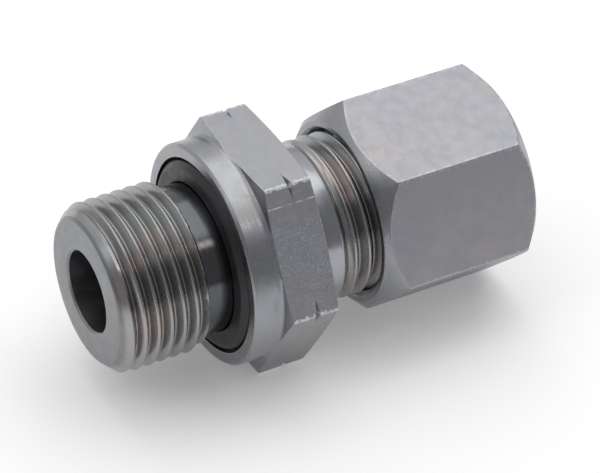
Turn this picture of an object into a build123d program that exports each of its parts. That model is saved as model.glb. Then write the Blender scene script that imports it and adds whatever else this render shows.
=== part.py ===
from build123d import *

import math
import os

# Straight male stud connector for a 10 mm tube, with a parallel pipe thread and a captive soft seal.
# It is four separate pieces on one axis: a stud body, a sealing ring, a cutting ring and a union nut.
#
# Millimetres. +X runs along the axis from the stud to the tube, and +Z is up.
# The origin is on the axis, in the plane of the metal sealing face, so the stud lies at negative X.
# The connector lies on one flat of the body hexagon, and both threads are drawn at their crests.

# Stud end, which screws into the port
stud_length = 12.0
stud_thread_dia = 16.5
stud_thread_length = 8.6
stud_end_chamfer = 1.25
stud_relief_depth = 1.0
stud_flank_angle = 27.5
through_bore_dia = 8.0
bore_mouth_chamfer = 0.35

# Collar with the groove that holds the sealing ring
seal_groove_width = 2.35
collar_lip_width = 1.3
collar_length = 2.85
collar_rim_chamfer = 0.25
collar_fillet = 0.5
groove_depth = 1.9

# Hexagon of the body, with the V groove that marks an inch thread across its corners
body_hex_step = 0.1
body_hex_width = 5.2
body_hex_face_inset = 0.3
body_hex_bevel_angle = 8.0
mark_groove_offset = 2.8
mark_groove_depth = 0.7
mark_groove_angle = 45.0

# Tube end of the body
tube_end_length = 19.5
tube_end_face_width = 0.9
tube_end_chamfer = 0.9
tube_thread_pitch = 1.5
shank_root_chamfer = 0.4
tube_dia = 10.0
socket_clearance = 0.05
socket_length = 1.825
cone_length = 5.175
cone_angle = 24.0

# Sealing ring, a moulded elastomer ring that stands a little proud of the sealing face
seal_inner_clearance = 0.05
seal_outer_clearance = 0.25
seal_proud = 0.4
seal_land = 1.2
seal_slope_angle = 40.0
seal_edge_chamfer = 0.18

# Cutting ring
ring_bore_clearance = 0.05
ring_length = 9.5
ring_waist_wall = 0.82
ring_nose_length = 0.8
ring_nose_angle = 20.0
ring_waist_length = 4.2
ring_shoulder_height = 0.68
ring_shoulder_angle = 15.0
ring_tail_wall = 0.55
ring_edge_spacing = 2.2
ring_edge_relief = 0.18
ring_edge_land = 0.5
seat_angle = 45.0

# Union nut
nut_wall = 1.47
nut_length = 16.5
nut_front_face_inset = 0.5
nut_front_bevel_angle = 45.0
nut_rear_face_inset = 0.1
nut_rear_bevel_angle = 42.0
nut_thread_depth = 9.8
nut_mouth_chamfer = 0.45
nut_chamber_clearance = 0.65
nut_hole_clearance = 0.25
nut_hole_length = 2.0
nut_hole_chamfer = 0.25
nut_turned_angle = 13.2

# Fits, how far the nut is backed off from finger-tight in this pose, and the bar's turning allowance
thread_clearance = 0.08
contact_clearance = 0.03
backed_off_turns = 1.2
blank_allowance = 1.0


def rise(length, angle):
    """Return how far a line climbs over a length along the axis, at an angle to the axis."""
    return length * math.tan(math.radians(angle))


def run(height, angle):
    """Return the length along the axis over which a line climbs a height, at an angle to the axis."""
    return height / math.tan(math.radians(angle))


# Places along the axis
stud_end_x = -stud_length
stud_thread_end_x = stud_end_x + stud_thread_length
hex_front_x = collar_length
hex_rear_x = hex_front_x + body_hex_width
mark_groove_x = hex_front_x + mark_groove_offset
tube_end_x = tube_end_length
cone_root_x = tube_end_x - cone_length
socket_floor_x = cone_root_x - socket_length

# Radii of the stud and collar, each from the one inside it
bore_radius = through_bore_dia / 2
stud_radius = stud_thread_dia / 2
relief_radius = stud_radius - stud_relief_depth
groove_radius = relief_radius + seal_groove_width
collar_radius = groove_radius + collar_lip_width
body_hex_flats = 2 * (collar_radius + body_hex_step)

# Radii of the tube end, each from the one inside it
tube_radius = tube_dia / 2
socket_radius = tube_radius + socket_clearance
cone_mouth_radius = socket_radius + rise(cone_length, cone_angle / 2)
shank_radius = cone_mouth_radius + tube_end_face_width + tube_end_chamfer

# Cutting ring. Finger-tight its nose meets the cone, and backed off it stands further out.
ring_bore_radius = tube_radius + ring_bore_clearance
ring_nose_radius = ring_bore_radius + ring_waist_wall
ring_shoulder_radius = ring_nose_radius + ring_shoulder_height
ring_tail_radius = ring_bore_radius + ring_tail_wall
backed_off_travel = backed_off_turns * tube_thread_pitch
nose_gap = cone_mouth_radius - ring_nose_radius - contact_clearance
nose_contact_x = tube_end_x - run(nose_gap, cone_angle / 2)
ring_front_x = nose_contact_x - ring_nose_length + backed_off_travel
ring_rear_x = ring_front_x + ring_length

# Union nut. Its seat runs parallel to the ring's tail, and its end wall and length follow from there.
nut_hole_radius = tube_radius + nut_hole_clearance
nut_chamber_radius = ring_shoulder_radius + nut_chamber_clearance
nut_thread_radius = shank_radius + thread_clearance
nut_flats = 2 * (nut_thread_radius + nut_wall)
seat_gap = contact_clearance / math.cos(math.radians(seat_angle))
seat_end_x = ring_rear_x + run(ring_tail_radius - nut_hole_radius + seat_gap, seat_angle)
seat_start_x = seat_end_x - run(nut_chamber_radius - nut_hole_radius, seat_angle)
nut_rear_x = seat_end_x + nut_hole_length
nut_front_x = nut_rear_x - nut_length
nut_thread_end_x = nut_front_x + nut_thread_depth


def hexagon_radius(flats):
    """Return the radius of a hexagon's corners, from its width across flats."""
    return flats / math.sqrt(3)


def turned(outline):
    """Turn a closed outline, drawn as distance along the axis and radius, into a solid."""
    return revolve(make_face(outline), axis=Axis.X)


def hexagon_bar(flats, start_x, end_x, turn=0.0):
    """Make hexagon bar along the axis, lying on a flat unless it is turned about the axis."""
    section = Plane.YZ * Rot(0, 0, turn) * RegularPolygon(flats / 2, 6, major_radius=False)
    bar = extrude(section, end_x - start_x)
    return Pos(start_x, 0, 0) * bar


def export_piece(piece, node):
    """Write one solid to its STEP file."""
    piece.label = node
    export_step(piece, f"parts/{node}.step")


def make_stud_body():
    """Turn the body out of hexagon bar: stud, grooved collar, marked hexagon and coned tube end."""
    corner_radius = hexagon_radius(body_hex_flats)
    blank_radius = corner_radius + blank_allowance
    fillet_top = collar_radius + collar_fillet
    bevel_front = rise(blank_radius - fillet_top, body_hex_bevel_angle)
    shank_root_radius = shank_radius + shank_root_chamfer
    hex_face_radius = body_hex_flats / 2 - body_hex_face_inset
    bevel_rear = rise(blank_radius - hex_face_radius, body_hex_bevel_angle)
    flank_run = rise(stud_radius - relief_radius, stud_flank_angle)

    outline = Polyline(
        (hex_front_x - collar_fillet, collar_radius),
        (collar_rim_chamfer, collar_radius),
        (0, collar_radius - collar_rim_chamfer),
        (0, groove_radius),
        (groove_depth, groove_radius),
        (groove_depth, relief_radius),
        (stud_thread_end_x + flank_run, relief_radius),
        (stud_thread_end_x, stud_radius),
        (stud_end_x + stud_end_chamfer, stud_radius),
        (stud_end_x, stud_radius - stud_end_chamfer),
        (stud_end_x, bore_radius + bore_mouth_chamfer),
        (stud_end_x + bore_mouth_chamfer, bore_radius),
        (socket_floor_x, bore_radius),
        (socket_floor_x, socket_radius),
        (cone_root_x, socket_radius),
        (tube_end_x, cone_mouth_radius),
        (tube_end_x, shank_radius - tube_end_chamfer),
        (tube_end_x - tube_end_chamfer, shank_radius),
        (hex_rear_x + shank_root_chamfer, shank_radius),
        (hex_rear_x, shank_root_radius),
        (hex_rear_x, hex_face_radius),
        (hex_rear_x - bevel_rear, blank_radius),
        (hex_front_x + bevel_front, blank_radius),
        (hex_front_x, fillet_top),
    )
    collar_curve = CenterArc((hex_front_x - collar_fillet, fillet_top), collar_fillet, 270, 90)
    turning = turned([outline, collar_curve])

    bar = hexagon_bar(body_hex_flats, stud_end_x, tube_end_x)
    mark_floor = corner_radius - mark_groove_depth
    mark_half_width = rise(blank_radius - mark_floor, mark_groove_angle / 2)
    mark = turned(
        Polyline(
            (mark_groove_x, mark_floor),
            (mark_groove_x + mark_half_width, blank_radius),
            (mark_groove_x - mark_half_width, blank_radius),
            close=True,
        )
    )
    return (bar & turning) - mark


def make_sealing_ring():
    """Mould the elastomer ring that fills the collar's groove and slopes off towards its rim."""
    inner = relief_radius + seal_inner_clearance
    outer = groove_radius - seal_outer_clearance
    front_x = -seal_proud
    land_start = inner + seal_edge_chamfer
    land_end = land_start + seal_land
    drop = rise(outer - land_end, seal_slope_angle)
    return turned(
        Polyline(
            (groove_depth, inner),
            (front_x + seal_edge_chamfer, inner),
            (front_x, land_start),
            (front_x, land_end),
            (front_x + drop, outer),
            (groove_depth, outer - seal_outer_clearance),
            close=True,
        )
    )


def make_cutting_ring():
    """Turn the cutting ring: tapered nose, two cutting edges inside it, waist, shoulder and tail."""
    nose_tip_radius = ring_nose_radius - rise(ring_nose_length, ring_nose_angle)
    waist_end_x = ring_front_x + ring_nose_length + ring_waist_length
    shoulder_run = run(ring_shoulder_height, ring_shoulder_angle)
    tail_start_x = ring_rear_x - run(ring_shoulder_radius - ring_tail_radius, seat_angle)
    # Each cutting edge is a short land at tube size, with a relief that slopes back from it.
    first_land_end = ring_front_x + ring_edge_land
    second_edge_x = ring_front_x + ring_edge_spacing
    return turned(
        Polyline(
            (ring_front_x, ring_bore_radius),
            (ring_front_x, nose_tip_radius),
            (ring_front_x + ring_nose_length, ring_nose_radius),
            (waist_end_x, ring_nose_radius),
            (waist_end_x + shoulder_run, ring_shoulder_radius),
            (tail_start_x, ring_shoulder_radius),
            (ring_rear_x, ring_tail_radius),
            (ring_rear_x, ring_bore_radius),
            (second_edge_x, ring_bore_radius),
            (second_edge_x, ring_bore_radius + ring_edge_relief),
            (first_land_end, ring_bore_radius),
            close=True,
        )
    )


def make_union_nut():
    """Turn the nut out of hexagon bar: bevelled ends, threaded bore, seat for the ring, tube hole."""
    blank_radius = hexagon_radius(nut_flats) + blank_allowance
    front_face_radius = nut_flats / 2 - nut_front_face_inset
    rear_face_radius = nut_flats / 2 - nut_rear_face_inset
    front_bevel = rise(blank_radius - front_face_radius, nut_front_bevel_angle)
    rear_bevel = rise(blank_radius - rear_face_radius, nut_rear_bevel_angle)
    thread_step = nut_thread_radius - nut_chamber_radius
    turning = turned(
        Polyline(
            (nut_front_x, nut_thread_radius + nut_mouth_chamfer),
            (nut_front_x, front_face_radius),
            (nut_front_x + front_bevel, blank_radius),
            (nut_rear_x - rear_bevel, blank_radius),
            (nut_rear_x, rear_face_radius),
            (nut_rear_x, nut_hole_radius + nut_hole_chamfer),
            (nut_rear_x - nut_hole_chamfer, nut_hole_radius),
            (seat_end_x, nut_hole_radius),
            (seat_start_x, nut_chamber_radius),
            (nut_thread_end_x + thread_step, nut_chamber_radius),
            (nut_thread_end_x, nut_thread_radius),
            (nut_front_x + nut_mouth_chamfer, nut_thread_radius),
            close=True,
        )
    )
    bar = hexagon_bar(nut_flats, nut_front_x, nut_rear_x, nut_turned_angle)
    return bar & turning


os.makedirs("parts", exist_ok=True)
export_piece(make_stud_body(), "stud_body")
export_piece(make_sealing_ring(), "sealing_ring")
export_piece(make_cutting_ring(), "cutting_ring")
export_piece(make_union_nut(), "union_nut")

thread_hold = (tube_end_x - tube_end_chamfer) - (nut_front_x + nut_mouth_chamfer)
print(f"ring {ring_front_x:.3f} to {ring_rear_x:.3f}, nut {nut_front_x:.3f} to {nut_rear_x:.3f}")
print(f"cone root {cone_root_x:.3f}, seat {seat_start_x:.3f} to {seat_end_x:.3f}")
print(f"thread holds for {thread_hold:.3f} mm, {thread_hold / tube_thread_pitch * 360:.1f} degrees")
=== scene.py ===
"""Looks of a straight male tube connector: plated steel, turned, threaded and slightly worn."""

import logging
import math
from dataclasses import dataclass, field
from enum import Enum
from typing import Callable, Dict, List, Optional, Sequence, Tuple, Union

import bmesh
import bpy
import numpy as np
from mathutils import Matrix, Vector


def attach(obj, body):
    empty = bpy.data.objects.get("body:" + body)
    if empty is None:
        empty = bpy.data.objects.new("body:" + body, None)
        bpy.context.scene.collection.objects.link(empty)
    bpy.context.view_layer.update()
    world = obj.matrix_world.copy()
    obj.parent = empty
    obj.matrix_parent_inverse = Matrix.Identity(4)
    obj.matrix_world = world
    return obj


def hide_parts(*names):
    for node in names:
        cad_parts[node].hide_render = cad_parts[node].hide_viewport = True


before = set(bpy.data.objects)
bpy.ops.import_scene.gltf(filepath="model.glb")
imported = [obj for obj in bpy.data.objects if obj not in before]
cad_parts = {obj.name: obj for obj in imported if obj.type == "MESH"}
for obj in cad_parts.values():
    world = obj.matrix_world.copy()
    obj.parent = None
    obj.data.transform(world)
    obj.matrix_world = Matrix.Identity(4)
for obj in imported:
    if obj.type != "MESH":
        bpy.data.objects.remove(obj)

log = logging.getLogger("connector")

MM = 0.001
MICRON = 1e-6
TURN = 2 * math.pi
Array = np.ndarray
Reach = Union[float, Array]
Profile = Callable[[Array], Array]
Colour = Tuple[float, float, float]
Material = bpy.types.Material
Piece = bpy.types.Object
Socket = bpy.types.NodeSocket
Sockets = Dict[str, Socket]
Tree = bpy.types.NodeTree

# How the mesh is welded, rounded and stepped, in metres, radians, degrees, mm and shares
WELD_DISTANCE = 2e-7
FLAT_DISTANCE = 1e-7
SHARP_ANGLE = math.radians(32)
EDGE_REACH = 1.5
EDGE_CLEARANCE = EDGE_REACH * 1.2
SHORTEST = 1e-9
ROUNDED_SHARE = 0.45
CORNER_STEPS = (-1, -0.6, -0.3, -0.12, 0, 0.12, 0.3, 0.6, 1)
CURVE_STEPS = (0.0, 0.25, 0.5, 0.75, 1.0)

# The thread that body and nut share, in mm
TUBE_PITCH = 1.5
TUBE_CREST = 12.2 - TUBE_PITCH * 137 / 360

# Plated steel, and its cooler and warmer patches
STEEL: Colour = (0.33, 0.335, 0.345)
COOL: Colour = (0.30, 0.32, 0.37)
WARM: Colour = (0.37, 0.34, 0.325)


def place_object(name: str, data: bpy.types.ID) -> Piece:
    """Add an object with its data to the scene."""
    placed = bpy.data.objects.new(name, data)
    bpy.context.scene.collection.objects.link(placed)
    return placed


# Geometry


class Zone(Enum):
    """The kinds of surface that a piece can show, each with the name of its material."""

    TURNED = "turned_plating"
    THREAD = "thread_plating"
    FLAT = "body_flat_plating"
    PITTED = "body_pitted_plating"
    SHANK = "shank_plating"
    # The neck's finish paints its shade into a dark base colour.
    NECK = "neck_painted_shade"
    BORE = "bore_plating"
    # The end face's finish paints shade into a darker base colour.
    FACE = "end_face_painted_shade"
    MOULDED = "seal_rubber"


@dataclass(frozen=True)
class Corner:
    """One corner of a turned outline.

    Args:
        x: Place along the axis in mm, one number or one for each angle.
        r: Distance from the axis in mm, one number or one for each angle.
        soft: Length in mm over which the corner is rounded off on both sides.
        zone: The surface that starts at this corner, where it isn't the outline's own.
        lift: How proud the corner stands, from 0 in a plain stretch to 1 at an edge.
    """

    x: Reach
    r: Reach
    soft: float = 0.0
    zone: Optional[Zone] = None
    lift: float = 0.0


@dataclass(frozen=True)
class ThreadForm:
    """A right-hand screw thread, as its radius over one pitch from a crest's middle.

    Args:
        pitch: Length of one turn in mm.
        crest_x: Place of a crest's middle at angle zero, in mm.
        shape: Pairs of distance from the crest in pitches, 0 to 0.5, and radius in mm.
    """

    pitch: float
    crest_x: float
    shape: Tuple[Tuple[float, float], ...]

    @classmethod
    def cut(
        cls, pitch: float, crest_x: float, outer: float, inner: float, crest: float, root: float
    ) -> "ThreadForm":
        """Return a thread whose straight flanks run into rounded crests and roots.

        Args:
            pitch: Length of one turn in mm.
            crest_x: Place of a crest's middle at angle zero, in mm.
            outer: Radius at the crest in mm.
            inner: Radius at the root in mm.
            crest: Share of a pitch, from its middle, over which the crest is rounded.
            root: The same for the root.

        Returns:
            The thread form.
        """
        slope = (outer - inner) / (0.5 - (crest + root) / 2)
        shape = []
        for share in CURVE_STEPS:
            shape.append((crest * share, outer - slope * crest * share**2 / 2))
        for share in reversed(CURVE_STEPS):
            shape.append((0.5 - root * share, inner + slope * root * share**2 / 2))
        return cls(pitch, crest_x, tuple(shape))

    def radius(self, x: Array, angle: Array) -> Array:
        """Return the radius in mm at places along the axis in mm and angles in radians."""
        turns = (x - self.crest_x) / self.pitch - angle / TURN
        spots, radii = zip(*self.shape)
        return np.interp(np.abs(turns - np.round(turns)), spots, radii)

    def height(self, x: Array, angle: Array) -> Array:
        """Return how near each place is to the crest, from 0 at the root to 1."""
        radii = [r for _, r in self.shape]
        return (self.radius(x, angle) - min(radii)) / (max(radii) - min(radii))

    def row_phases(self) -> List[float]:
        """Return the places over one pitch, in pitches, that the mesh follows."""
        spots = [s for s, _ in self.shape]
        both = [-s for s in reversed(spots) if 0 < s < 0.5] + [s for s in spots if s < 0.5]
        return both + [0.5]


def hexagon(angle: Array, flats: float, turned_by: float, corner_round: float) -> Array:
    """Return the radius of a hexagon bar with slightly rounded corners.

    Args:
        angle: Angles about the axis in radians.
        flats: Width across flats in mm.
        turned_by: Angle of one corner, in degrees.
        corner_round: Radius of the corners in mm.

    Returns:
        The distance from the axis to the bar's surface at each angle, in mm.
    """
    half, side = flats / 2, math.pi / 6
    away = np.abs((angle - math.radians(turned_by) + side) % (2 * side) - side)
    straight = half / np.cos(side - away)
    centre = (half - corner_round) / math.cos(side)
    tangent = math.atan2(corner_round * math.sin(side), centre + corner_round * math.cos(side))
    curve = centre * np.cos(away) + np.sqrt(
        np.maximum(corner_round**2 - (centre * np.sin(away)) ** 2, 0)
    )
    return np.where(away < tangent, curve, straight)


def quarter_turn(steps: int) -> List[Tuple[float, float]]:
    """Return the sine and cosine at even steps of a quarter turn."""
    turns = [math.pi / 2 * step / steps for step in range(steps + 1)]
    return [(math.sin(turn), math.cos(turn)) for turn in turns]


def angles_round(columns: int, corners: Sequence[float]) -> Array:
    """Return the mesh's angles, evenly spaced and closer together at a bar's corners.

    Args:
        columns: Number of even steps round the axis.
        corners: Angles of the corners in degrees.

    Returns:
        The sorted angles in radians, from 0 up to less than a full turn.
    """
    even = np.arange(columns) * 360.0 / columns
    keep = np.ones(columns, bool)
    extra = []
    for corner in corners:
        gap = np.abs((even - corner + 180) % 360 - 180)
        keep &= gap > EDGE_CLEARANCE
        extra += [corner + EDGE_REACH * step for step in CORNER_STEPS]
    degrees = np.sort(np.concatenate([even[keep], np.array(extra) % 360]))
    return np.radians(degrees)


class Turning:
    """Builds one turned piece as a closed skin from rows of points round the axis."""

    def __init__(self, name: str, angles: Array, corners: Sequence[float] = ()) -> None:
        """Start an empty skin.

        Args:
            name: The piece's name.
            angles: The mesh's angles in radians.
            corners: Angles of the bar's corners in degrees.
        """
        self.name = name
        self.angles = angles
        self.corner_lift = np.zeros(angles.shape)
        for corner in corners:
            away = np.abs((np.degrees(angles) - corner + 180) % 360 - 180)
            self.corner_lift = np.maximum(self.corner_lift, np.clip(EDGE_REACH - away, 0, 1))
        self.grids: List[Tuple[Array, Array, Array, Zone]] = []

    def full(self, value: Reach) -> Array:
        """Return a value as one number for each angle."""
        return np.broadcast_to(np.asarray(value, float), self.angles.shape).copy()

    def add_outline(self, *corners: Corner, zone: Zone = Zone.TURNED) -> None:
        """Add the turned surface that runs through a row of corners.

        Args:
            corners: The corners in order. Each stretch takes the zone of the corner it starts at.
            zone: The zone of the corners that name none.
        """
        zones = [c.zone or zone for c in corners]
        xs = [self.full(c.x) for c in corners]
        rs = [self.full(c.r) for c in corners]
        stretch: List[Tuple[Array, Array, float]] = []
        for i, corner in enumerate(corners):
            inner = 0 < i < len(corners) - 1
            if not inner or corner.soft <= 0:
                stretch.append((xs[i], rs[i], corner.lift))
            else:
                for point in self.rounded(xs, rs, i, corner.soft):
                    stretch.append((point[0], point[1], corner.lift))
            last = i == len(corners) - 1
            if last or (i > 0 and zones[i] != zones[i - 1]):
                self.close_stretch(stretch, zones[i - 1])
                stretch = stretch[-1:]

    def rounded(
        self, xs: List[Array], rs: List[Array], i: int, soft: float
    ) -> List[Tuple[Array, Array]]:
        """Return the points that round off one corner.

        Args:
            xs: Places along the axis of all the corners.
            rs: Distances from the axis of all the corners.
            i: Index of the corner.
            soft: Length of the rounding on each side, in mm.

        Returns:
            Five points along the curve, each with one number for every angle.
        """
        here = np.stack([xs[i], rs[i]])
        ends = []
        for j in (i - 1, i + 1):
            away = np.stack([xs[j], rs[j]]) - here
            length = np.maximum(np.hypot(*away), SHORTEST)
            ends.append(here + away / length * np.minimum(soft, ROUNDED_SHARE * length))
        points = []
        for t in CURVE_STEPS:
            p = (1 - t) ** 2 * ends[0] + 2 * t * (1 - t) * here + t**2 * ends[1]
            points.append((p[0], p[1]))
        return points

    def close_stretch(self, stretch: List[Tuple[Array, Array, float]], zone: Zone) -> None:
        """Turn a run of rows into a grid of one zone."""
        x, r = (np.stack([row[i] for row in stretch]) for i in (0, 1))
        corner = self.corner_lift if zone == Zone.FLAT else np.zeros(self.angles.shape)
        lift = np.stack([np.maximum(corner, row[2]) for row in stretch])
        self.grids.append((x, r, lift, zone))

    def add_thread(
        self,
        form: ThreadForm,
        start: float,
        end: float,
        envelope: Profile,
        zone: Zone,
        inside: bool = False,
        depth: Optional[Profile] = None,
    ) -> Tuple[Array, Array]:
        """Add a helical thread whose rows follow its crest and root lines.

        Args:
            form: The thread's pitch, place and shape.
            start: Where the thread's surface starts along the axis, in mm.
            end: Where it ends, in mm.
            envelope: Radius that the thread is cut off at, from places along the axis.
            zone: The surface that it shows.
            inside: Whether the thread is cut inside a hole.
            depth: Share of the full depth that is cut at each place along the axis.

        Returns:
            The radius at the start and at the end, one number for each angle.
        """
        turning = np.append(self.angles, self.angles[0] + TURN)
        first = math.floor((start - form.crest_x) / form.pitch) - 2
        last = math.ceil((end - form.crest_x) / form.pitch) + 1
        places = [
            form.crest_x + form.pitch * (turn + phase)
            for turn in range(first, last + 1)
            for phase in form.row_phases()
        ]
        helix = np.array(sorted(set(round(p, 6) for p in places)))
        x = np.clip(helix[:, None] + form.pitch * turning[None, :] / TURN, start, end)
        busy = (x.max(1) > start) & (x.min(1) < end)
        busy[max(int(np.argmax(busy)) - 1, 0)] = True
        busy[min(len(busy) - int(np.argmax(busy[::-1])), len(busy) - 1)] = True
        x = x[busy]
        angle = np.broadcast_to(turning[None, :], x.shape)

        def cut(place: Array, at: Array) -> Array:
            """Return the radius that is left at places and angles."""
            full = form.radius(place, at)
            if depth is not None:
                crest = form.shape[0][1]
                full = crest + (full - crest) * depth(place)
            limit = envelope(place)
            return np.maximum(full, limit) if inside else np.minimum(full, limit)

        r = cut(x, angle)
        lift = form.height(x, angle)
        self.grids.append((x, r, 1 - lift if inside else lift, zone))
        ends = [cut(self.full(place), self.angles) for place in (start, end)]
        return ends[0], ends[1]

    def build(self, finishes: Dict[Zone, Material]) -> Piece:
        """Weld the rows into one closed mesh with a material for each zone.

        Args:
            finishes: The material of each zone that the piece shows.

        Returns:
            The new object, linked to the scene.
        """
        mesh = bpy.data.meshes.new(self.name)
        points: List[Array] = []
        lifts: List[Array] = []
        faces: List[Tuple[int, int, int, int]] = []
        kinds: List[int] = []
        slots = list(finishes)
        start = 0
        for x, r, lift, zone in self.grids:
            rows, columns = x.shape
            closed = columns == len(self.angles)
            angle = self.angles if closed else np.append(self.angles, self.angles[0] + TURN)
            y = r * np.cos(angle)[None, :]
            z = r * np.sin(angle)[None, :]
            points.append(np.stack([x, y, z], -1).reshape(-1, 3) * MM)
            lifts.append(lift.reshape(-1))
            for i in range(rows - 1):
                here = start + i * columns
                for j in range(columns if closed else columns - 1):
                    k = (j + 1) % columns
                    faces.append((here + j, here + k, here + columns + k, here + columns + j))
                    kinds.append(slots.index(zone))
            start += rows * columns
        mesh.from_pydata(np.concatenate(points).tolist(), [], faces)
        mesh.polygons.foreach_set("material_index", np.array(kinds, np.int32))
        # The lift attribute drives the painted shade in thread roots and the bright edge line,
        # which is partly wear and partly a painted highlight.
        layer = mesh.attributes.new("lift", "FLOAT", "POINT")
        layer.data.foreach_set("value", np.concatenate(lifts).astype(np.float32))
        work = bmesh.new()
        work.from_mesh(mesh)
        bmesh.ops.remove_doubles(work, verts=work.verts, dist=WELD_DISTANCE)
        bmesh.ops.dissolve_degenerate(work, edges=work.edges, dist=FLAT_DISTANCE)
        bmesh.ops.recalc_face_normals(work, faces=work.faces)
        work.to_mesh(mesh)
        work.free()
        for zone in slots:
            mesh.materials.append(finishes[zone])
        mesh.polygons.foreach_set("use_smooth", np.ones(len(mesh.polygons), bool))
        mesh.set_sharp_from_angle(angle=SHARP_ANGLE)
        return place_object(self.name, mesh)


# Node sheets


class Sheet:
    """A thin wrapper that adds and joins nodes in one material or group."""

    def __init__(self, tree: Tree) -> None:
        """Work on one node tree."""
        self.tree = tree

    def add(self, kind: str, **settings: object) -> bpy.types.Node:
        """Add a node.

        Args:
            kind: Its Blender type.
            settings: Values for the node itself.

        Returns:
            The new node.
        """
        node = self.tree.nodes.new(kind)
        for name, value in settings.items():
            setattr(node, name, value)
        return node

    def join(self, out: Socket, into: Socket) -> None:
        """Join an output to an input."""
        self.tree.links.new(out, into)

    def feed(self, socket: Socket, value: object) -> None:
        """Set an input to a value, or join another node's output to it."""
        if isinstance(value, Socket):
            self.join(value, socket)
        else:
            socket.default_value = value

    def maths(self, operation: str, *values: object) -> Socket:
        """Return the result of one sum on numbers or sockets."""
        node = self.add("ShaderNodeMath", operation=operation)
        for socket, value in zip(node.inputs, values):
            self.feed(socket, value)
        return node.outputs[0]

    def times(self, first: object, second: object) -> Socket:
        """Return the product of two numbers or sockets."""
        return self.maths("MULTIPLY", first, second)

    def plus(self, first: object, second: object) -> Socket:
        """Return the sum of two numbers or sockets."""
        return self.maths("ADD", first, second)

    def dot(self, place: Socket, along: object) -> Socket:
        """Return how far a place lies along a direction."""
        node = self.add("ShaderNodeVectorMath", operation="DOT_PRODUCT")
        self.feed(node.inputs[0], place)
        self.feed(node.inputs[1], along)
        return node.outputs["Value"]

    def shader(self, kind: str, **inputs: object) -> Socket:
        """Add a shader, feed its named inputs and return its output."""
        node = self.add(kind)
        for name, value in inputs.items():
            self.feed(node.inputs[name], value)
        return node.outputs[0]

    def spread(
        self, value: object, low: float, high: float, to_low: float = 0.0, to_high: float = 1.0
    ) -> Socket:
        """Return a value mapped from one range to another, and held at its ends."""
        node = self.add("ShaderNodeMapRange", interpolation_type="SMOOTHSTEP")
        names = ("Value", "From Min", "From Max", "To Min", "To Max")
        for name, entry in zip(names, (value, low, high, to_low, to_high)):
            self.feed(node.inputs[name], entry)
        return node.outputs[0]

    def blend(self, share: object, first: object, second: object) -> Socket:
        """Return a colour between two others."""
        node = self.add("ShaderNodeMix", data_type="RGBA")
        self.feed(node.inputs[0], share)
        self.feed(node.inputs[6], rgba(first))
        self.feed(node.inputs[7], rgba(second))
        return node.outputs[2]

    def noise(
        self, place: object, scale: float, detail: float, dimensions: str = "3D"
    ) -> Socket:
        """Return a smooth noise over a place, about 0.5 on average."""
        node = self.add("ShaderNodeTexNoise", noise_dimensions=dimensions)
        self.feed(node.inputs["W" if dimensions == "1D" else "Vector"], place)
        node.inputs["Scale"].default_value = scale
        node.inputs["Detail"].default_value = detail
        return node.outputs[0]

    def stretch(self, place: object, by: Tuple[float, float, float]) -> Socket:
        """Return a place with each direction scaled by itself."""
        node = self.add("ShaderNodeVectorMath", operation="MULTIPLY")
        self.feed(node.inputs[0], place)
        node.inputs[1].default_value = by
        return node.outputs[0]

    def group(self, tree: Tree, values: Dict[str, object]) -> Sockets:
        """Place a shared group.

        Args:
            tree: The group.
            values: Value or socket for each named input.

        Returns:
            The group's outputs by name.
        """
        node = self.add("ShaderNodeGroup", node_tree=tree)
        for label, value in values.items():
            self.feed(node.inputs[label], value)
        return {socket.name: socket for socket in node.outputs}

    def bump(self, height: Socket, into: Socket) -> None:
        """Turn a height in micrometres into the normal of a shader."""
        node = self.add("ShaderNodeBump")
        node.inputs["Strength"].default_value = 1.0
        node.inputs["Distance"].default_value = MICRON
        self.join(height, node.inputs["Height"])
        self.join(node.outputs[0], into)


def empty_sheet(owner: Union[Material, bpy.types.World]) -> Sheet:
    """Return the sheet of a material or world, cleared of its first nodes."""
    owner.use_nodes = True
    owner.node_tree.nodes.clear()
    return Sheet(owner.node_tree)


def rgba(value: object) -> object:
    """Return a colour with its fourth number, or a socket as it is."""
    return (*value, 1.0) if isinstance(value, tuple) and len(value) == 3 else value


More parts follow.
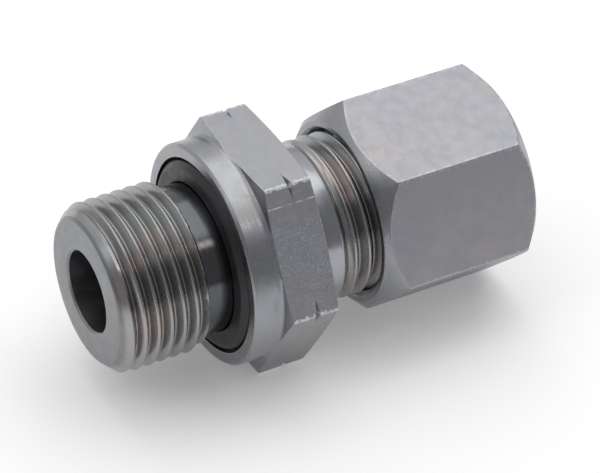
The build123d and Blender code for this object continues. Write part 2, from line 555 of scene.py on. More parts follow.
class Effects:
    """The node groups that several finishes share, which give masks, heights and colours."""

    def __init__(self) -> None:
        """Build each group once."""
        self.axis_place = self.make_axis_place()
        self.turning_marks = self.make_turning_marks()
        self.plating_tint = self.make_plating_tint()
        self.satin_grain = self.make_satin_grain()
        self.scratches = self.make_scratches()
        self.worn_and_glint_edges = self.make_worn_and_glint_edges()
        self.pits = self.make_pits()

    @staticmethod
    def start(
        name: str, inputs: Dict[str, object], outputs: Dict[str, str]
    ) -> Tuple[Tree, Sheet, bpy.types.NodeOutputs, bpy.types.NodeInputs]:
        """Start a group with named sockets.

        Args:
            name: The group's name.
            inputs: Default of each input: a number, a colour, a direction, or None for a place.
            outputs: Kind of each output: Float, Vector or Color.

        Returns:
            The group, its sheet, what it is given, and the sockets for what it makes.
        """
        tree = bpy.data.node_groups.new(name, "ShaderNodeTree")
        for label, default in inputs.items():
            kind = "Float" if isinstance(default, float) else "Vector"
            if isinstance(default, tuple) and len(default) == 4:
                kind = "Color"
            kind = "NodeSocket" + kind
            socket = tree.interface.new_socket(label, in_out="INPUT", socket_type=kind)
            if default is not None:
                socket.default_value = default
        for label, kind in outputs.items():
            tree.interface.new_socket(label, in_out="OUTPUT", socket_type="NodeSocket" + kind)
        sheet = Sheet(tree)
        given, made = sheet.add("NodeGroupInput"), sheet.add("NodeGroupOutput")
        return tree, sheet, given.outputs, made.inputs

    def make_axis_place(self) -> Tree:
        """Group that gives a place in mm, and its distance along and from the axis."""
        tree, s, given, made = self.start(
            "axis_place",
            {"Object Place": None},
            {"Place": "Vector", "Along": "Float", "Radius": "Float"},
        )
        per_metre = 1 / MM
        place = s.stretch(given["Object Place"], (per_metre, per_metre, per_metre))
        parts = s.add("ShaderNodeSeparateXYZ")
        s.join(place, parts.inputs[0])
        squares = [s.times(part, part) for part in parts.outputs[1:3]]
        s.join(place, made["Place"])
        s.join(parts.outputs[0], made["Along"])
        s.join(s.maths("SQRT", s.plus(*squares)), made["Radius"])
        return tree

    def make_turning_marks(self) -> Tree:
        """Group that draws the fine rings that a lathe tool leaves."""
        tree, s, given, made = self.start(
            "turning_marks",
            {"Along": 0.0, "Radius": 0.0, "Rings Per mm": 9.0, "Strength": 1.0},
            {"Height": "Float", "Streak": "Float"},
        )
        travel = s.plus(given["Along"], given["Radius"])
        fine = s.noise(s.times(travel, given["Rings Per mm"]), 1.0, 1.0, "1D")
        wide = s.noise(travel, 1.7, 2.0, "1D")
        both = s.plus(s.times(fine, 0.7), s.times(wide, 0.3))
        s.join(s.times(both, given["Strength"]), made["Height"])
        s.join(s.spread(both, 0.35, 0.65), made["Streak"])
        return tree

    def make_plating_tint(self) -> Tree:
        """Group that shifts the plating's colour in soft patches, as thin passivation does."""
        tree, s, given, made = self.start(
            "plating_tint",
            {
                "Place": None, "Base": rgba(STEEL), "Cool": rgba(COOL), "Warm": rgba(WARM),
                "Strength": 0.5,
            },
            {"Colour": "Color"},
        )
        place, strength = given["Place"], given["Strength"]
        cool = s.spread(s.noise(place, 0.16, 2.0), 0.45, 0.68)
        moved = s.stretch(place, (1.3, -1.1, 0.9))
        warm = s.spread(s.noise(moved, 0.21, 2.0), 0.5, 0.7)
        first = s.blend(s.times(cool, strength), given["Base"], given["Cool"])
        second = s.blend(s.times(warm, strength), first, given["Warm"])
        s.join(second, made["Colour"])
        return tree

    def make_satin_grain(self) -> Tree:
        """Group that gives the fine uneven grain of plated steel."""
        tree, s, given, made = self.start(
            "satin_grain", {"Place": None, "Strength": 1.0}, {"Mask": "Float", "Height": "Float"}
        )
        small = s.noise(given["Place"], 6.0, 3.0)
        large = s.noise(given["Place"], 0.9, 3.0)
        both = s.plus(s.times(small, 0.5), s.times(large, 0.5))
        s.join(s.spread(both, 0.36, 0.64), made["Mask"])
        s.join(s.times(small, given["Strength"]), made["Height"])
        return tree

    def make_scratches(self) -> Tree:
        """Group that draws thin broken handling scratches along the axis."""
        tree, s, given, made = self.start(
            "scratches", {"Place": None, "Amount": 0.5}, {"Mask": "Float"}
        )
        lines = s.noise(s.stretch(given["Place"], (0.35, 9.0, 9.0)), 1.0, 1.0)
        breaks = s.spread(s.noise(given["Place"], 0.8, 1.0), 0.5, 0.62)
        thin = s.spread(lines, 0.62, 0.72)
        mask = s.times(s.times(thin, breaks), given["Amount"])
        s.join(mask, made["Mask"])
        return tree

    def make_worn_and_glint_edges(self) -> Tree:
        """Group that breaks up the mesh's edge mark into a ragged line, partly plating worn
        through and partly a painted highlight.
        """
        tree, s, given, made = self.start(
            "worn_and_glint_edges", {"Place": None, "Edge": 0.0, "Amount": 1.0}, {"Mask": "Float"}
        )
        ragged = s.spread(s.noise(given["Place"], 3.2, 3.0), 0.35, 0.65, -0.45, 0.45)
        edge = s.plus(given["Edge"], ragged)
        mask = s.times(s.spread(edge, 0.45, 0.95), given["Amount"])
        s.join(mask, made["Mask"])
        return tree

    def make_pits(self) -> Tree:
        """Group that speckles a flat with pits and bright grains, beyond one drawn line."""
        tree, s, given, made = self.start(
            "pits",
            {"Place": None, "Across": (0.0, -0.5, -0.866), "Line Place": -4.5},
            {"Speck": "Float", "Line": "Float", "Height": "Float"},
        )
        place = given["Place"]
        from_line = s.maths("SUBTRACT", s.dot(place, given["Across"]), given["Line Place"])
        beyond = s.spread(from_line, 0.0, 2.6, 0.15, 1.0)
        grains = s.spread(s.noise(place, 6.5, 1.5), 0.54, 0.72)
        narrow = s.spread(s.maths("ABSOLUTE", from_line), 0.03, 0.1, 1.0, 0.0)
        broken = s.spread(s.noise(place, 1.6, 2.0), 0.38, 0.55, 0.2, 1.0)
        s.join(s.times(grains, beyond), made["Speck"])
        s.join(s.times(narrow, broken), made["Line"])
        s.join(s.times(s.noise(place, 5.0, 2.0), beyond), made["Height"])
        return tree


# Finishes


@dataclass(frozen=True)
class Finish:
    """A material whose patterns follow the part's own places.

    Args:
        name: The material's name.
    """

    name: str

    def start(
        self, effects: Effects
    ) -> Tuple[Material, Sheet, bpy.types.NodeInputs, Sockets, Sockets]:
        """Start the material.

        Args:
            effects: The shared node groups.

        Returns:
            The new material, its sheet, its shader's inputs, the part's place in mm, and its
            distances along and from the axis.
        """
        made = bpy.data.materials.new(self.name)
        made.use_nodes = True
        s = Sheet(made.node_tree)
        where = s.add("ShaderNodeTexCoord")
        travel = s.group(effects.axis_place, {"Object Place": where.outputs["Object"]})
        here = {"Place": travel.pop("Place")}
        return made, s, made.node_tree.nodes["Principled BSDF"].inputs, here, travel


@dataclass(frozen=True)
class PlatedFinish(Finish):
    """Zinc-plated steel as one kind of surface shows it.

    Args:
        base: Main colour.
        cool: Colour of the cooler patches.
        warm: Colour of the warmer patches.
        tint: Share of the patches.
        rough: Roughness where the surface is brightest.
        rough_spread: How much rougher the dull patches are.
        rings: Lathe rings per mm.
        ring_height: Height of the rings in micrometres.
        grain_height: Height of the grain in micrometres.
        scratch: Share of handling scratches.
        root: Colour of the painted shade deep in a thread's roots.
        root_shade_share: How far the roots take that colour.
        edge_wear_and_glint_share: Share of the bright line along the edges, partly plating worn
            through and partly a painted highlight.
        pit_height: Height of the pits in micrometres, or 0 for none.
        bright: How much brighter than the main colour bare metal is.
        ring_rough: How much rougher the rings are.
        scratch_tone: How far scratches take the colour of bare metal.
        scratch_polish: How much smoother scratches are.
        worn_rough: How much rougher worn edges are.
        speck_tone: How far the pits' specks take the colour of bare metal.
        speck_rough: How much rougher the specks are.
        root_shade_reach: Heights between which the root's colour fades.
    """

    base: Colour = STEEL
    cool: Colour = COOL
    warm: Colour = WARM
    tint: float = 0.5
    rough: float = 0.3
    rough_spread: float = 0.12
    rings: float = 9.0
    ring_height: float = 1.5
    grain_height: float = 1.0
    scratch: float = 0.3
    root: Colour = (0.2, 0.18, 0.165)
    root_shade_share: float = 0.0
    edge_wear_and_glint_share: float = 0.0
    pit_height: float = 0.0
    bright: float = 2.1
    ring_rough: float = 0.04
    scratch_tone: float = 0.25
    scratch_polish: float = 0.06
    worn_rough: float = 0.25
    speck_tone: float = 0.35
    speck_rough: float = 0.2
    root_shade_reach: Tuple[float, float] = (0.05, 0.75)

    def material(self, effects: Effects) -> Material:
        """Build the finish.

        Args:
            effects: The shared node groups.

        Returns:
            The new material.
        """
        made, s, shader, here, travel = self.start(effects)
        tones = {"Base": rgba(self.base), "Cool": rgba(self.cool), "Warm": rgba(self.warm)}
        colour = s.group(effects.plating_tint, {**here, **tones, "Strength": self.tint})["Colour"]
        cuts = {**travel, "Rings Per mm": self.rings, "Strength": self.ring_height}
        rings = s.group(effects.turning_marks, cuts)
        grain = s.group(effects.satin_grain, {**here, "Strength": self.grain_height})
        scratch = s.group(effects.scratches, {**here, "Amount": self.scratch})["Mask"]
        if self.root_shade_share > 0 or self.edge_wear_and_glint_share > 0:
            lift = s.add("ShaderNodeAttribute", attribute_name="lift").outputs["Fac"]
        # Painted shade: thread roots are darkened toward the root colour, following the crest
        # height in the lift attribute.
        if self.root_shade_share > 0:
            deep = s.spread(lift, *self.root_shade_reach, self.root_shade_share, 0.0)
            colour = s.blend(deep, colour, self.root)
        bare = tuple(min(c * self.bright, 1.0) for c in self.base)
        colour = s.blend(s.times(scratch, self.scratch_tone), colour, bare)
        height = s.plus(rings["Height"], grain["Height"])
        dull = s.times(grain["Mask"], self.rough_spread)
        if self.edge_wear_and_glint_share > 0:
            edges = {**here, "Edge": lift, "Amount": self.edge_wear_and_glint_share}
            worn = s.group(effects.worn_and_glint_edges, edges)["Mask"]
            # Edge line toward the bare metal colour: partly real wear, partly a painted highlight.
            colour = s.blend(worn, colour, bare)
            dull = s.plus(dull, s.times(worn, self.worn_rough))
        if self.pit_height > 0:
            pits = s.group(effects.pits, here)
            specks = s.times(pits["Speck"], self.speck_tone)
            colour = s.blend(s.maths("MAXIMUM", specks, pits["Line"]), colour, bare)
            dull = s.plus(dull, s.times(pits["Speck"], self.speck_rough))
            raised = s.times(pits["Height"], self.pit_height)
            height = s.plus(height, raised)
        rough = s.plus(dull, self.rough)
        if self.ring_height > 0:
            rough = s.plus(rough, s.times(rings["Streak"], self.ring_rough))
        rough = s.maths("SUBTRACT", rough, s.times(scratch, self.scratch_polish))
        s.join(colour, shader["Base Color"])
        shader["Metallic"].default_value = 1.0
        s.join(rough, shader["Roughness"])
        s.bump(height, shader["Normal"])
        return made


@dataclass(frozen=True)
class RubberFinish(Finish):
    """Moulded black elastomer, slightly glossy with faint flow marks.

    Args:
        base: Main colour.
        dusty: Colour of the duller patches.
        rough: Roughness of the cleanest parts.
        rough_spread: How much rougher the dull patches are.
        grain_height: Height of the grain in micrometres.
        ring_height: Height of the flow marks in micrometres.
    """

    base: Colour = (0.006, 0.0065, 0.0085)
    dusty: Colour = (0.016, 0.0165, 0.019)
    rough: float = 0.34
    rough_spread: float = 0.18
    grain_height: float = 2.5
    ring_height: float = 1.2

    def material(self, effects: Effects) -> Material:
        """Build the finish.

        Args:
            effects: The shared node groups.

        Returns:
            The new material.
        """
        made, s, shader, here, travel = self.start(effects)
        grain = s.group(effects.satin_grain, {**here, "Strength": self.grain_height})
        rings = s.group(effects.turning_marks, {**travel, "Strength": self.ring_height})
        dull = s.times(grain["Mask"], self.rough_spread)
        s.join(s.blend(grain["Mask"], self.base, self.dusty), shader["Base Color"])
        s.join(s.plus(dull, self.rough), shader["Roughness"])
        s.bump(s.plus(grain["Height"], rings["Height"]), shader["Normal"])
        return made


# The connector's pieces, with sizes in mm


@dataclass
class StudBody:
    """The body: threaded stud, grooved collar, marked hexagon, shank and tube-end thread."""

    columns: int = 252
    stud_end: float = -12.0
    stud_radius: float = 8.25
    end_face_radius: float = 7.0
    thread_start: float = -11.7
    stud_thread_end: float = -3.4
    lead_depth: float = 0.3
    lead_run: float = 1.8
    runout_slope: float = math.tan(math.radians(27.5))
    runout_seam: float = 0.02
    relief_radius: float = 7.25
    bore_radius: float = 4.0
    bore_chamfer: float = 0.2
    bore_row: float = -2.8
    groove_radius: float = 9.6
    groove_depth: float = 1.9
    collar_radius: float = 10.9
    rim_chamfer: float = 0.25
    collar_fillet: float = 0.5
    fillet_steps: int = 6
    hex_flats: float = 22.0
    hex_front: float = 2.85
    hex_rear: float = 8.05
    hex_face_radius: float = 10.7
    hex_bevel: float = math.tan(math.radians(8))
    corner_round: float = 0.14
    # Width and lift of the bright edge line: partly wear, partly a painted highlight.
    worn_and_glint_edge: float = 0.16
    worn_and_glint_lift: float = 0.25
    mark_place: float = 5.65
    mark_floor: float = 12.0
    mark_slope: float = math.tan(math.radians(45 / 2))
    shank_radius: float = 7.95
    shank_fillet: float = 0.4
    shank_steps: int = 5
    tube_thread_start: float = 10.95
    tube_thread_full: float = 12.3
    tube_end: float = 19.5
    tube_end_chamfer: float = 0.9
    end_seam: float = 0.05
    cone_mouth: float = 6.15
    cone_root: float = 14.325
    socket_radius: float = 5.05
    socket_floor: float = 12.5
    stud_thread: ThreadForm = ThreadForm.cut(
        1.337, -10.11 - 1.337 * 107 / 360, 8.25, 7.42, 0.13, 0.16
    )
    tube_thread: ThreadForm = ThreadForm.cut(TUBE_PITCH, TUBE_CREST, 7.95, 7.06, 0.14, 0.14)

    def build(self, finishes: Dict[Zone, Material]) -> Piece:
        """Build the body's skin and let it stand for the CAD body.

        Args:
            finishes: The material of each zone.

        Returns:
            The new piece.
        """
        corners = range(0, 360, 60)
        angles = angles_round(self.columns, corners)
        skin = Turning("body_turned_from_hexagon_bar", angles, corners)
        self.add_stud(skin)
        self.add_collar_and_hexagon(skin)
        self.add_tube_end(skin)
        self.add_bore(skin)
        piece = skin.build(finishes)
        self.mark_pitted_flats(piece, list(finishes))
        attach(piece, "fitting")
        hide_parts("stud_body")
        return piece

    @staticmethod
    def mark_pitted_flats(piece: Piece, zones: List[Zone]) -> None:
        """Give every other flat of the hexagon the pitted finish that the bar came with.

        Args:
            piece: The body.
            zones: The zones in the order of the piece's materials.
        """
        flat, pitted = zones.index(Zone.FLAT), zones.index(Zone.PITTED)
        for face in piece.data.polygons:
            if face.material_index == flat:
                angle = math.degrees(math.atan2(face.center.z, face.center.y)) % 360
                if int(angle // 60) % 2 == 0:
                    face.material_index = pitted

    def add_stud(self, skin: Turning) -> None:
        """Add the end face and the stud's thread with its lead chamfer and run-out."""
        mouth = self.stud_end + self.bore_chamfer
        runout_end = (
            self.stud_thread_end + (self.stud_radius - self.relief_radius) * self.runout_slope
        )
        end = runout_end + self.runout_seam

        def envelope(x: Array) -> Array:
            """Return the radius of the lead chamfer, the crests and the run-out."""
            lead = self.end_face_radius + (x - self.stud_end)
            tail = self.relief_radius + np.maximum((runout_end - x) / self.runout_slope, 0)
            return np.minimum(np.minimum(lead, tail), self.stud_radius)

        def depth(x: Array) -> Array:
            """Return how deep the thread is cut, as a share of its full depth."""
            return np.clip(self.lead_depth + (x - self.thread_start) / self.lead_run, 0, 1)

        first, last = skin.add_thread(
            self.stud_thread, self.thread_start, end, envelope, Zone.THREAD, depth=depth
        )
        skin.add_outline(
            Corner(mouth, self.bore_radius),
            Corner(self.stud_end, self.bore_radius + self.bore_chamfer, 0.06),
            Corner(self.stud_end, self.end_face_radius, 0.16),
            Corner(self.thread_start, first),
            zone=Zone.FACE,
        )
        skin.add_outline(
            Corner(end, last),
            Corner(end + self.end_seam, self.relief_radius),
            Corner(self.groove_depth, self.relief_radius),
            zone=Zone.NECK,
        )

    def add_collar_and_hexagon(self, skin: Turning) -> None:
        """Add the seal groove, the collar, and the hexagon with its marked corners."""
        bar = hexagon(skin.angles, self.hex_flats, 0.0, self.corner_round)
        fillet_top = self.collar_radius + self.collar_fillet
        fillet = []
        for sine, cosine in quarter_turn(self.fillet_steps):
            x = self.hex_front - self.collar_fillet * (1 - sine)
            fillet.append(Corner(x, np.minimum(fillet_top - self.collar_fillet * cosine, bar)))
        front = self.hex_front + np.maximum(bar - fillet_top, 0) * self.hex_bevel
        rear = self.hex_rear - np.maximum(bar - self.hex_face_radius, 0) * self.hex_bevel
        reach = np.maximum(bar - self.mark_floor, 0)
        half = reach * self.mark_slope
        skin.add_outline(
            Corner(self.groove_depth, self.relief_radius),
            Corner(self.groove_depth, self.groove_radius, 0.1),
            Corner(0.0, self.groove_radius, 0.07),
            Corner(0.0, self.collar_radius - self.rim_chamfer, 0.08),
            Corner(self.rim_chamfer, self.collar_radius, 0.12),
            *fillet,
            Corner(front, bar, 0.05, Zone.FLAT, self.worn_and_glint_lift),
            Corner(front + self.worn_and_glint_edge, bar, 0.0, Zone.FLAT),
            Corner(self.mark_place - half, bar, 0.03, Zone.FLAT),
            Corner(self.mark_place, bar - reach, 0.05, Zone.FLAT),
            Corner(self.mark_place + half, bar, 0.03, Zone.FLAT),
            Corner(rear - self.worn_and_glint_edge, bar, 0.0, Zone.FLAT),
            Corner(rear, bar, 0.05, Zone.TURNED, self.worn_and_glint_lift),
            Corner(self.hex_rear, self.hex_face_radius, 0.08),
            Corner(self.hex_rear, self.shank_radius + self.shank_fillet),
        )

    def add_tube_end(self, skin: Turning) -> None:
        """Add the shank, the tube-end thread with its run-out and the end chamfer."""
        top = self.shank_radius + self.shank_fillet
        curve = []
        for sine, cosine in quarter_turn(self.shank_steps):
            x = self.hex_rear + self.shank_fillet * (1 - cosine)
            curve.append(Corner(x, top - self.shank_fillet * sine))

        def envelope(x: Array) -> Array:
            """Return the radius of the crests and the end chamfer."""
            lead = self.shank_radius - self.tube_end_chamfer + (self.tube_end - x)
            return np.minimum(lead, self.shank_radius)

        def depth(x: Array) -> Array:
            """Return how deep the thread is cut, as a share of its full depth."""
            along = (x - self.tube_thread_start) / (self.tube_thread_full - self.tube_thread_start)
            return np.clip(along, 0, 1)

        end = self.tube_end - self.end_seam
        first, last = skin.add_thread(
            self.tube_thread, self.tube_thread_start, end, envelope, Zone.THREAD, depth=depth
        )
        skin.add_outline(*curve, Corner(self.tube_thread_start, first), zone=Zone.SHANK)
        skin.add_outline(
            Corner(end, last),
            Corner(self.tube_end, self.shank_radius - self.tube_end_chamfer),
            Corner(self.tube_end, self.cone_mouth),
        )

    def add_bore(self, skin: Turning) -> None:
        """Add the cone, the tube socket and the bore back to the stud's end face."""
        mouth = self.stud_end + self.bore_chamfer
        skin.add_outline(
            Corner(self.tube_end, self.cone_mouth),
            Corner(self.cone_root, self.socket_radius),
            Corner(self.socket_floor, self.socket_radius),
            Corner(self.socket_floor, self.bore_radius, 0.05),
            Corner(self.bore_row, self.bore_radius),
            Corner(mouth, self.bore_radius),
            zone=Zone.BORE,
        )


@dataclass
class SealingRing:
    """The black elastomer ring in the collar's groove."""

    columns: int = 200
    inner: float = 7.3
    outer: float = 9.35
    front: float = -0.4
    land_end: float = 8.68
    slope_end: float = 0.162
    back: float = 1.9
    back_outer: float = 9.1

    def build(self, finishes: Dict[Zone, Material]) -> Piece:
        """Build the ring's skin and let it stand for the CAD ring.

        Args:
            finishes: The material of each zone.

        Returns:
            The new piece.
        """
        skin = Turning("seal_moulded_ring", angles_round(self.columns, ()))
        skin.add_outline(
            Corner(self.back, self.inner),
            Corner(self.front, self.inner, 0.18),
            Corner(self.front, self.land_end, 0.16),
            Corner(self.slope_end, self.outer, 0.2),
            Corner(self.back, self.back_outer, 0.05),
            Corner(self.back, self.inner),
            zone=Zone.MOULDED,
        )
        piece = skin.build(finishes)
        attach(piece, "fitting")
        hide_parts("sealing_ring")
        return piece


@dataclass
class UnionNut:
    """The union nut: bevelled hexagon, threaded mouth, seat and tube hole."""

    columns: int = 228
    flats: float = 19.0
    turned_by: float = 13.2
    corner_round: float = 0.16
    # Width of the bright edge line: partly wear, partly a painted highlight.
    worn_and_glint_edge: float = 0.3
    front_lift: float = 0.75
    rear_lift: float = 0.6
    front: float = 14.716
    rear: float = 31.216
    front_face_radius: float = 9.0
    rear_face_radius: float = 9.4
    front_slope: float = 1.0
    rear_slope: float = math.tan(math.radians(42))
    mouth_radius: float = 8.03
    mouth_chamfer: float = 0.45
    thread_end: float = 24.516
    thread_relief: float = 0.83
    chamber_radius: float = 7.2
    seat_start: float = 27.266
    seat_end: float = 29.216
    hole_radius: float = 5.25
    hole_chamfer: float = 0.25
    thread: ThreadForm = ThreadForm(
        TUBE_PITCH, TUBE_CREST, ((0.0, 8.03), (0.20, 8.03), (0.41, 7.26), (0.5, 7.24))
    )

    def build(self, finishes: Dict[Zone, Material]) -> Piece:
        """Build the nut's skin and let it stand for the CAD nut.

        Args:
            finishes: The material of each zone.

        Returns:
            The new piece.
        """
        corners = [(self.turned_by + 60 * k) % 360 for k in range(6)]
        angles = angles_round(self.columns, corners)
        skin = Turning("nut_turned_from_hexagon_bar", angles, corners)
        bar = hexagon(skin.angles, self.flats, self.turned_by, self.corner_round)
        front = self.front + (bar - self.front_face_radius) * self.front_slope
        rear = self.rear - (bar - self.rear_face_radius) * self.rear_slope
        start = self.front + self.mouth_chamfer

        def envelope(x: Array) -> Array:
            """Return the radius of the chamfer in the nut's mouth."""
            return self.mouth_radius - (x - start)

        first, last = skin.add_thread(
            self.thread, start, self.thread_end, envelope, Zone.BORE, inside=True
        )
        skin.add_outline(
            Corner(start, first),
            Corner(self.front, self.mouth_radius + self.mouth_chamfer, 0.05),
            Corner(self.front, self.front_face_radius, 0.06),
            Corner(front, bar, 0.09, Zone.FLAT, self.front_lift),
            Corner(front + self.worn_and_glint_edge, bar, 0.0, Zone.FLAT),
            Corner(rear - self.worn_and_glint_edge, bar, 0.0, Zone.FLAT),
            Corner(rear, bar, 0.09, Zone.TURNED, self.rear_lift),
            Corner(self.rear, self.rear_face_radius, 0.08),
            Corner(self.rear, self.hole_radius + self.hole_chamfer, 0.05),
            Corner(self.rear - self.hole_chamfer, self.hole_radius, 0.05),
            Corner(self.seat_end, self.hole_radius, 0.04),
            Corner(self.seat_start, self.chamber_radius, 0.1),
            Corner(self.thread_end + self.thread_relief, self.chamber_radius, 0.1),
            Corner(self.thread_end, last),
        )
        piece = skin.build(finishes)
        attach(piece, "nut")
        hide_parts("union_nut")
        return piece


@dataclass
class CuttingRing:
    """The loose cutting ring, whose CAD shape stays and only takes a finish."""

    node: str = "cutting_ring"

    def dress(self, finish: Material) -> None:
        """Give the CAD ring its finish."""
        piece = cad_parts[self.node]
        for slot in piece.material_slots:
            slot.material = finish
        if not piece.material_slots:
            piece.data.materials.append(finish)


# Studio


@dataclass(frozen=True)
class Softbox:
    """One rectangular lamp.

    Args:
        name: The lamp's name.
        toward: Direction from the part to the lamp.
        distance: Distance in metres.
        size: Width and height in metres.
        radiance: Brightness of its face, where 1 renders as white.
        colour: Colour of the light.
    """

    name: str
    toward: Tuple[float, float, float]
    distance: float
    size: Tuple[float, float]
    radiance: float
    colour: Colour = (1.0, 1.0, 1.0)

    def build(self, aim: Vector) -> None:
        """Add the lamp, facing the part."""
        data = bpy.data.lights.new(self.name, "AREA")
        data.shape = "RECTANGLE"
        data.size, data.size_y = self.size
        data.energy = self.radiance * math.pi * self.size[0] * self.size[1]
        data.color = self.colour
        lamp = place_object(self.name, data)
        direction = Vector(self.toward).normalized()
        lamp.location = aim + direction * self.distance
        lamp.rotation_euler = direction.to_track_quat("Z", "Y").to_euler()


@dataclass
class Studio:
    """Floor, world, lamps and camera."""

    floor_drop: float = 0.0111
    floor_reach: float = 0.9
    front_side: Tuple[float, float, float] = (-0.5, -0.866, 0.0)
    fade_start: float = 0.055
    fade_end: float = 0.11
    paper_tone: Colour = (0.9, 0.9, 0.9)
    faded_tone: Colour = (0.2, 0.2, 0.2)
    glow: float = 0.2
    lens: float = 208.69
    sensor: float = 36.0
    clip: Tuple[float, float] = (0.01, 10.0)
    azimuth: float = -30.187
    elevation: float = 38.813
    roll: float = 2.153
    distance: float = 0.330558
    aim: Tuple[float, float, float] = (0.0101258, -0.0009601, -0.0007030)
    ceiling_side: Tuple[float, float, float] = (0.0, 0.5, 0.866)
    ceiling_start: float = 0.3
    ceiling_full: float = 0.72
    ceiling_tone: Colour = (0.85, 0.85, 0.86)
    wall_tone: Colour = (0.3, 0.3, 0.31)
    lamps: List[Softbox] = field(
        default_factory=lambda: [
            Softbox("softbox_above", (0.3, 0.3, 1.0), 0.45, (0.6, 0.4), 1.05),
            Softbox("softbox_left", (-1.0, 0.1, 0.9), 0.5, (0.2, 0.3), 0.8),
            Softbox(
                "softbox_front", (0.39, -0.47, 0.79), 0.4, (0.16, 0.05), 3.0, (1.0, 0.9, 0.87)
            ),
        ]
    )

    def build(self) -> None:
        """Build the whole studio."""
        self.build_floor()
        self.build_world()
        for lamp in self.lamps:
            lamp.build(Vector(self.aim))
        self.build_camera()

    def build_floor(self) -> None:
        """Lay a pale floor that keeps the part's shadow and turns grey on the camera's side."""
        reach = self.floor_reach
        mesh = bpy.data.meshes.new("floor")
        corners = [(-reach, -reach), (reach, -reach), (reach, reach), (-reach, reach)]
        mesh.from_pydata([(x, y, -self.floor_drop) for x, y in corners], [], [(0, 1, 2, 3)])
        floor = place_object("floor", mesh)
        made = bpy.data.materials.new("floor_paper")
        s = empty_sheet(made)
        front = s.dot(s.add("ShaderNodeTexCoord").outputs["Object"], self.front_side)
        away = s.spread(front, self.fade_start, self.fade_end)
        tone = s.blend(away, self.paper_tone, self.faded_tone)
        path = s.add("ShaderNodeLightPath").outputs
        seen = s.maths("MAXIMUM", path["Is Camera Ray"], path["Is Glossy Ray"])
        seen = s.maths("MAXIMUM", seen, path["Is Transmission Ray"])
        unlit = s.shader("ShaderNodeEmission", Strength=0.0)
        glow = s.shader("ShaderNodeEmission", Color=tone, Strength=self.glow)
        chosen = s.add("ShaderNodeMixShader")
        for socket, value in zip(chosen.inputs, (seen, unlit, glow)):
            s.join(value, socket)
        both = s.add("ShaderNodeAddShader")
        s.join(s.shader("ShaderNodeBsdfDiffuse", Color=tone), both.inputs[0])
        s.join(chosen.outputs[0], both.inputs[1])
        s.join(both.outputs[0], s.add("ShaderNodeOutputMaterial").inputs["Surface"])
        mesh.materials.append(made)

    def build_world(self) -> None:
        """Give the room round the table: a bright ceiling behind the part and dim walls."""
        world = bpy.data.worlds.new("room")
        bpy.context.scene.world = world
        s = empty_sheet(world)
        above = s.dot(s.add("ShaderNodeTexCoord").outputs["Generated"], self.ceiling_side)
        near = s.spread(above, self.ceiling_start, self.ceiling_full)
        tone = s.blend(near, self.wall_tone, self.ceiling_tone)
        air = s.shader("ShaderNodeBackground", Color=tone)
        s.join(air, s.add("ShaderNodeOutputWorld").inputs["Surface"])

    def build_camera(self) -> None:
        """Place the camera at the photograph's angle."""
        data = bpy.data.cameras.new("camera")
        data.lens = self.lens
        data.sensor_width = self.sensor
        data.clip_start, data.clip_end = self.clip
        camera = place_object("camera", data)
        a, e = math.radians(self.azimuth), math.radians(self.elevation)
        back = Vector((math.sin(a) * math.cos(e), -math.cos(a) * math.cos(e), math.sin(e)))
        right = Vector((math.cos(a), math.sin(a), 0.0))
        up = back.cross(right)
        t = math.radians(self.roll)
        side = right * math.cos(t) + up * math.sin(t)
        top = up * math.cos(t) - right * math.sin(t)
        turn = Matrix((side, top, back)).transposed().to_4x4()
        camera.matrix_world = Matrix.Translation(Vector(self.aim) + back * self.distance) @ turn
        bpy.context.scene.camera = camera


# Assembly


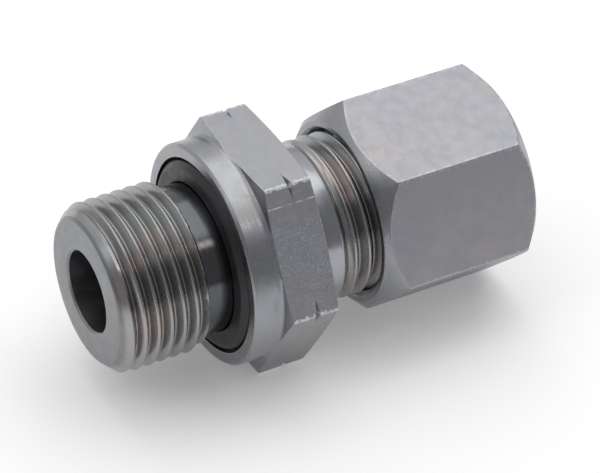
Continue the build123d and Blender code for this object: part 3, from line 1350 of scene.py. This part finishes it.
def make_finishes(effects: Effects) -> Dict[str, Material]:
    """Build every finish.

    Args:
        effects: The shared node groups.

    Returns:
        The materials by name.
    """
    finishes = [
        PlatedFinish(
            "turned_plating", (0.31, 0.315, 0.325),
            rough=0.25, rings=4.0, ring_height=14.0, grain_height=0.5,
        ),
        # Thread: its roots get painted shade, a darker colour toward each root.
        PlatedFinish(
            "thread_plating", STEEL, (0.295, 0.325, 0.33), (0.41, 0.35, 0.325),
            tint=0.6, rough=0.2, rough_spread=0.05, rings=3.0, grain_height=0.4, root_shade_share=0.55,
        ),
        PlatedFinish(
            "body_flat_plating", (0.33, 0.335, 0.35),
            rough=0.4, ring_height=0.0, grain_height=5.0, scratch=0.6, edge_wear_and_glint_share=0.9,
        ),
        PlatedFinish(
            "body_pitted_plating", (0.38, 0.385, 0.405), (0.33, 0.37, 0.44),
            rough=0.42, ring_height=0.0, grain_height=6.0, scratch=1.0, edge_wear_and_glint_share=0.9,
            pit_height=22.0,
        ),
        PlatedFinish(
            "shank_plating", (0.36, 0.365, 0.38),
            rough=0.18, rough_spread=0.04, rings=3.0, ring_height=2.0, grain_height=0.3,
        ),
        PlatedFinish(
            "nut_flat_plating", (0.31, 0.31, 0.325), (0.29, 0.29, 0.335), (0.34, 0.315, 0.315),
            rough=0.36, ring_height=0.0, grain_height=4.0, scratch=0.25, edge_wear_and_glint_share=0.35,
        ),
        # Neck: the dark base colour is painted shade, standing in for the dark surroundings it
        # reflects.
        PlatedFinish(
            "neck_painted_shade", (0.1, 0.104, 0.112), (0.08, 0.095, 0.13), (0.12, 0.1, 0.092),
            rough=0.12, rough_spread=0.04, rings=3.0, ring_height=1.0, grain_height=0.3,
        ),
        # End face: the base colour is darkened as painted shade, offsetting the bright floor it
        # reflects.
        PlatedFinish(
            "end_face_painted_shade", (0.235, 0.24, 0.245), (0.22, 0.235, 0.26), (0.27, 0.25, 0.24),
            rough=0.27, rings=4.0, ring_height=14.0, grain_height=0.8,
        ),
        PlatedFinish("bore_plating", (0.26, 0.26, 0.27), ring_height=5.0),
        PlatedFinish("ring_steel", rough=0.24, rings=3.0, ring_height=2.0),
        RubberFinish("seal_rubber"),
    ]
    return {finish.name: finish.material(effects) for finish in finishes}


def main() -> None:
    """Build the connector's looks and its studio in order."""
    logging.basicConfig(level=logging.INFO, format="%(name)s: %(message)s")
    bpy.context.scene.view_settings.view_transform = "Standard"
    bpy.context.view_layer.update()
    finishes = make_finishes(Effects())
    zoned = {zone: finishes[zone.value] for zone in Zone}
    rubber = {Zone.MOULDED: zoned.pop(Zone.MOULDED)}
    turned, bore = zoned[Zone.TURNED], zoned[Zone.BORE]
    nut_zones = {Zone.TURNED: turned, Zone.FLAT: finishes["nut_flat_plating"], Zone.BORE: bore}
    for maker, zones in ((StudBody(), zoned), (SealingRing(), rubber), (UnionNut(), nut_zones)):
        piece = maker.build(zones)
        log.info("built %s with %d faces", piece.name, len(piece.data.polygons))
    CuttingRing().dress(finishes["ring_steel"])
    log.info("dressed cutting_ring")
    Studio().build()
    log.info("built the studio")


if __name__ == "__main__":
    main()
